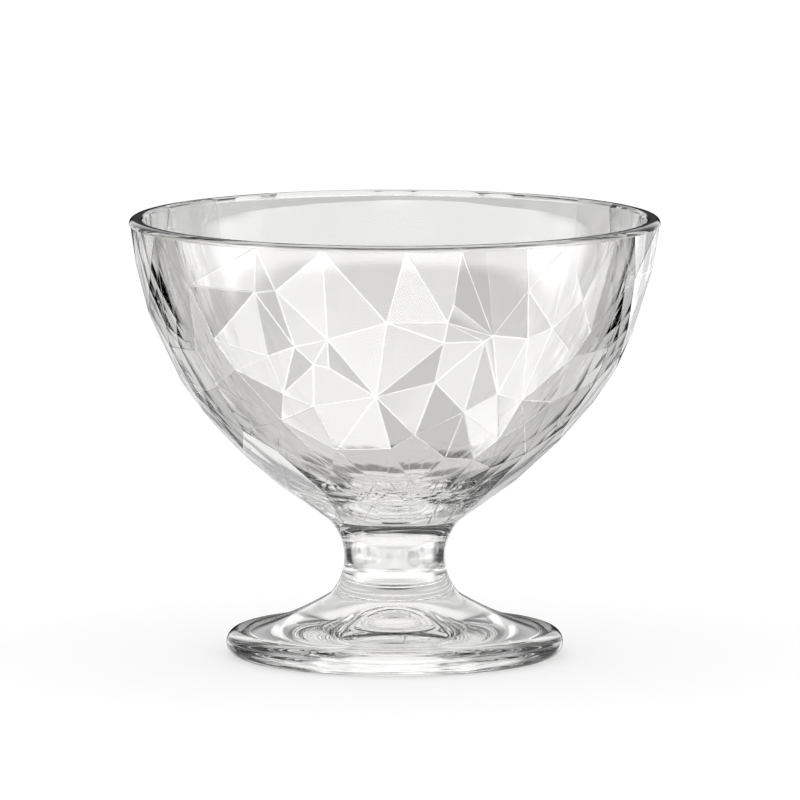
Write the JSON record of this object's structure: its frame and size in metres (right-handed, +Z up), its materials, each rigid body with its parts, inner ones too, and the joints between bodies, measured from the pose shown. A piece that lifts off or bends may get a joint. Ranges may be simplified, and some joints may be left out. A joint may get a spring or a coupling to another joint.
{
  "type": "ice cream glass",
  "caption": "Clear footed glass for ice cream or a dessert: a deep bowl with an irregularly faceted wall on a short waisted stem and a round domed foot.",
  "frame": {"origin": "centre of the foot's resting plane, on the glass's axis", "axes": "+Z runs up the axis from the foot to the lip; -Y is the side that the picture shows and +X is to its right"},
  "size_m": [0.12, 0.12, 0.0995],
  "materials": {
    "bowl_glass": "clear, fire-polished",
    "stem_glass": "clear, fire-polished",
    "foot_glass": "clear, fire-polished"
  },
  "bodies": {
    "root": {"bowl": "bowl_glass", "stem": "stem_glass", "foot": "foot_glass"}
  },
  "joints": []
}
